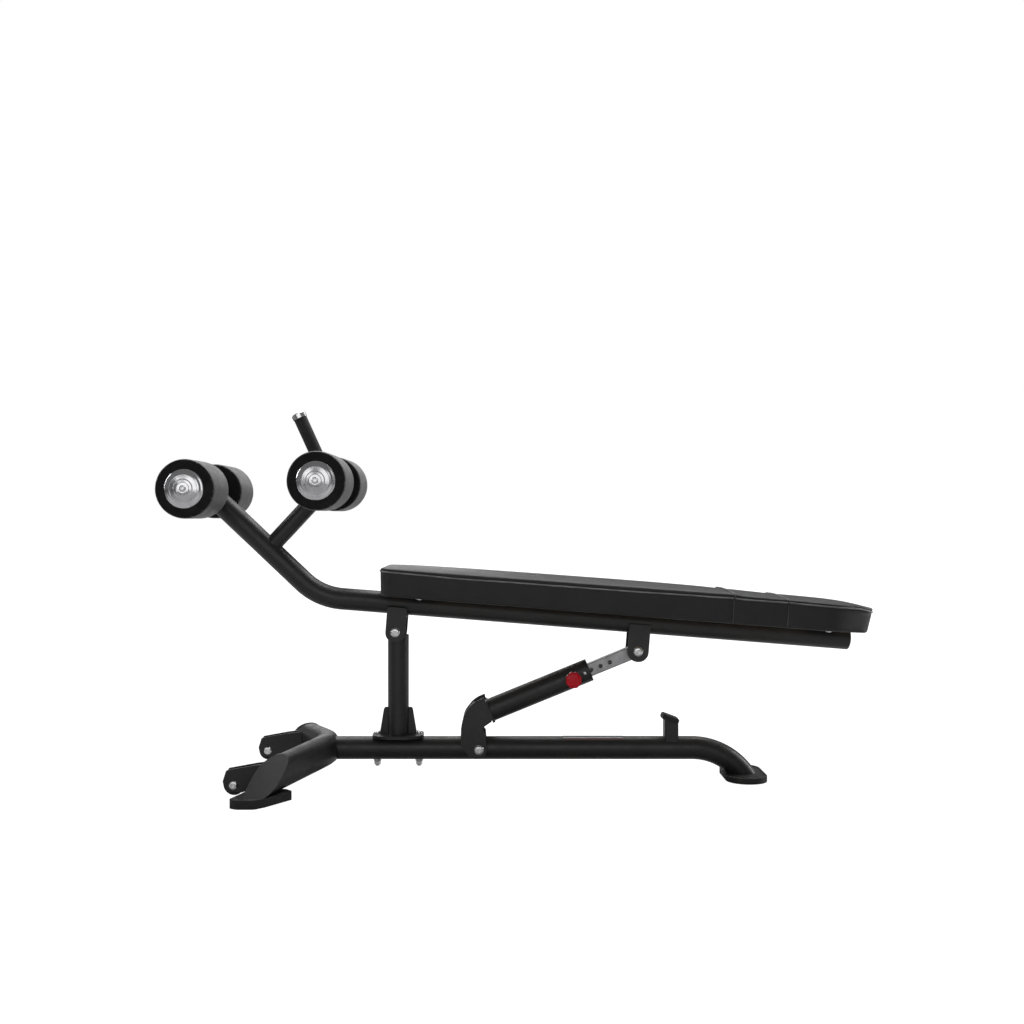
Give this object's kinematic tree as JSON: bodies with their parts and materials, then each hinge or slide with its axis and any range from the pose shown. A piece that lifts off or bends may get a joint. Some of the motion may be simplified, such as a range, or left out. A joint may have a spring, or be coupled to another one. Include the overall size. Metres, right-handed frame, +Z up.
{
  "type": "abdominal bench",
  "caption": "Decline abdominal bench: tilting padded board on an upright post, held by a telescoping strut with a pull pin, with foam toe and knee rollers and a hand grip.",
  "frame": {"origin": "on the floor, under the middle of the bounding box", "axes": "+X to the head end of the pad, +Y to the left of a user facing the head end, +Z up"},
  "size_m": [1.718, 0.698, 0.9139],
  "materials": {
    "powder_black": "satin black powder coat with a fine orange peel",
    "bracket_black": "satin black powder coat on laser-cut plate",
    "rubber_black": "matt moulded rubber",
    "black_plastic": "moulded black plastic",
    "zinc_steel": "bright zinc plate",
    "core_tube": "plain plastic tube",
    "sintered_bronze": "dull sintered bronze",
    "knob_red": "gloss moulded plastic",
    "plywood": "raw birch plywood",
    "pad_core": "dense open-cell foam",
    "vinyl_black": "grained black upholstery vinyl",
    "polished_aluminium": "polished, turned in steps",
    "foam_black": "skinned black closed-cell foam",
    "blank_label": "blank satin film"
  },
  "bodies": {
    "base": {"base_beam": "powder_black", "rear_bend": "powder_black", "front_stabiliser": "powder_black", "stabiliser_end_plates": "bracket_black", "foot_plates": "powder_black", "foot_pads": "rubber_black", "wheel_brackets": "powder_black", "wheel_axles": "zinc_steel", "upright_post": "powder_black", "post_flange": "powder_black", "post_gussets": "powder_black", "post_bolts": "zinc_steel", "post_nuts": "zinc_steel", "pivot_tubes": "powder_black", "pivot_bushings": "sintered_bronze", "stop_post": "powder_black", "stop_cap": "rubber_black", "label_strip": "blank_label"},
    "wheel_l": {"wheel_left": "rubber_black"},
    "wheel_r": {"wheel_right": "rubber_black"},
    "sleeve": {"strut_sleeve": "powder_black", "strut_bracket": "bracket_black", "sleeve_guide": "black_plastic", "guide_screws": "zinc_steel", "lower_pivot_bolt": "zinc_steel", "pin_housing": "zinc_steel", "pin_spring": "zinc_steel"},
    "pull_pin": {"pin_shaft": "zinc_steel", "pin_knob": "knob_red"},
    "inner": {"inner_tube": "zinc_steel", "inner_end_plug": "black_plastic"},
    "bench": {"bench_beam": "powder_black", "neck_bend": "powder_black", "neck_tube": "powder_black", "tube_plugs": "black_plastic", "tilt_bracket": "bracket_black", "strut_upper_bracket": "bracket_black", "bench_pivot_bolts": "zinc_steel", "pad_mounts": "powder_black", "pad_screws": "zinc_steel", "pad_board": "plywood", "pad_foam": "pad_core", "pad_cover": "vinyl_black", "axle_hubs": "powder_black", "roller_axles": "zinc_steel", "axle_collars": "powder_black", "knee_branch": "powder_black", "handle_tube": "powder_black", "handle_grip": "rubber_black", "grip_collar": "polished_aluminium", "end_caps": "polished_aluminium", "cap_screws": "zinc_steel"},
    "toe_roller_l": {"roller_toe_left": "foam_black", "core_toe_left": "core_tube"},
    "toe_roller_r": {"roller_toe_right": "foam_black", "core_toe_right": "core_tube"},
    "knee_roller_l": {"roller_knee_left": "foam_black", "core_knee_left": "core_tube"},
    "knee_roller_r": {"roller_knee_right": "foam_black", "core_knee_right": "core_tube"}
  },
  "joints": [
    {"name": "bench_tilt", "type": "hinge", "parent": "base", "child": "bench", "pos_m": [-0.316, 0, 0.3635], "axis": [0, 1, 0], "range_deg": [-4.5, 16]},
    {"name": "strut_swing", "type": "hinge", "parent": "base", "child": "sleeve", "pos_m": [-0.109, 0, 0.073], "axis": [0, 1, 0], "range_deg": [-6, 21]},
    {"name": "strut_slide", "type": "slide", "parent": "sleeve", "child": "inner", "axis": [0.9261, 0, 0.3773], "range_m": [-0.1, 0.029]},
    {"name": "pin_pull", "type": "slide", "parent": "sleeve", "child": "pull_pin", "axis": [0, -1, 0], "range_m": [0, 0.01], "stiffness_N_per_m": 600, "springref_m": -0.01},
    {"name": "wheel_left_spin", "type": "hinge", "parent": "base", "child": "wheel_l", "pos_m": [-0.674, 0.21, 0.028], "axis": [0, 1, 0], "continuous": true},
    {"name": "wheel_right_spin", "type": "hinge", "parent": "base", "child": "wheel_r", "pos_m": [-0.674, -0.21, 0.028], "axis": [0, 1, 0], "continuous": true},
    {"name": "toe_left_spin", "type": "hinge", "parent": "bench", "child": "toe_roller_l", "pos_m": [-0.78785, 0.15, 0.71502], "axis": [0, 1, 0], "continuous": true},
    {"name": "toe_right_spin", "type": "hinge", "parent": "bench", "child": "toe_roller_r", "pos_m": [-0.78785, -0.15, 0.71502], "axis": [0, 1, 0], "continuous": true},
    {"name": "knee_left_spin", "type": "hinge", "parent": "bench", "child": "knee_roller_l", "pos_m": [-0.48247, 0.15, 0.7337], "axis": [0, 1, 0], "continuous": true},
    {"name": "knee_right_spin", "type": "hinge", "parent": "bench", "child": "knee_roller_r", "pos_m": [-0.48247, -0.15, 0.7337], "axis": [0, 1, 0], "continuous": true}
  ],
  "couplings": [
    {"joint": "strut_swing", "follows": "bench_tilt", "ratio": 1.295},
    {"joint": "strut_slide", "follows": "bench_tilt", "m_per_rad": -0.354}
  ]
}
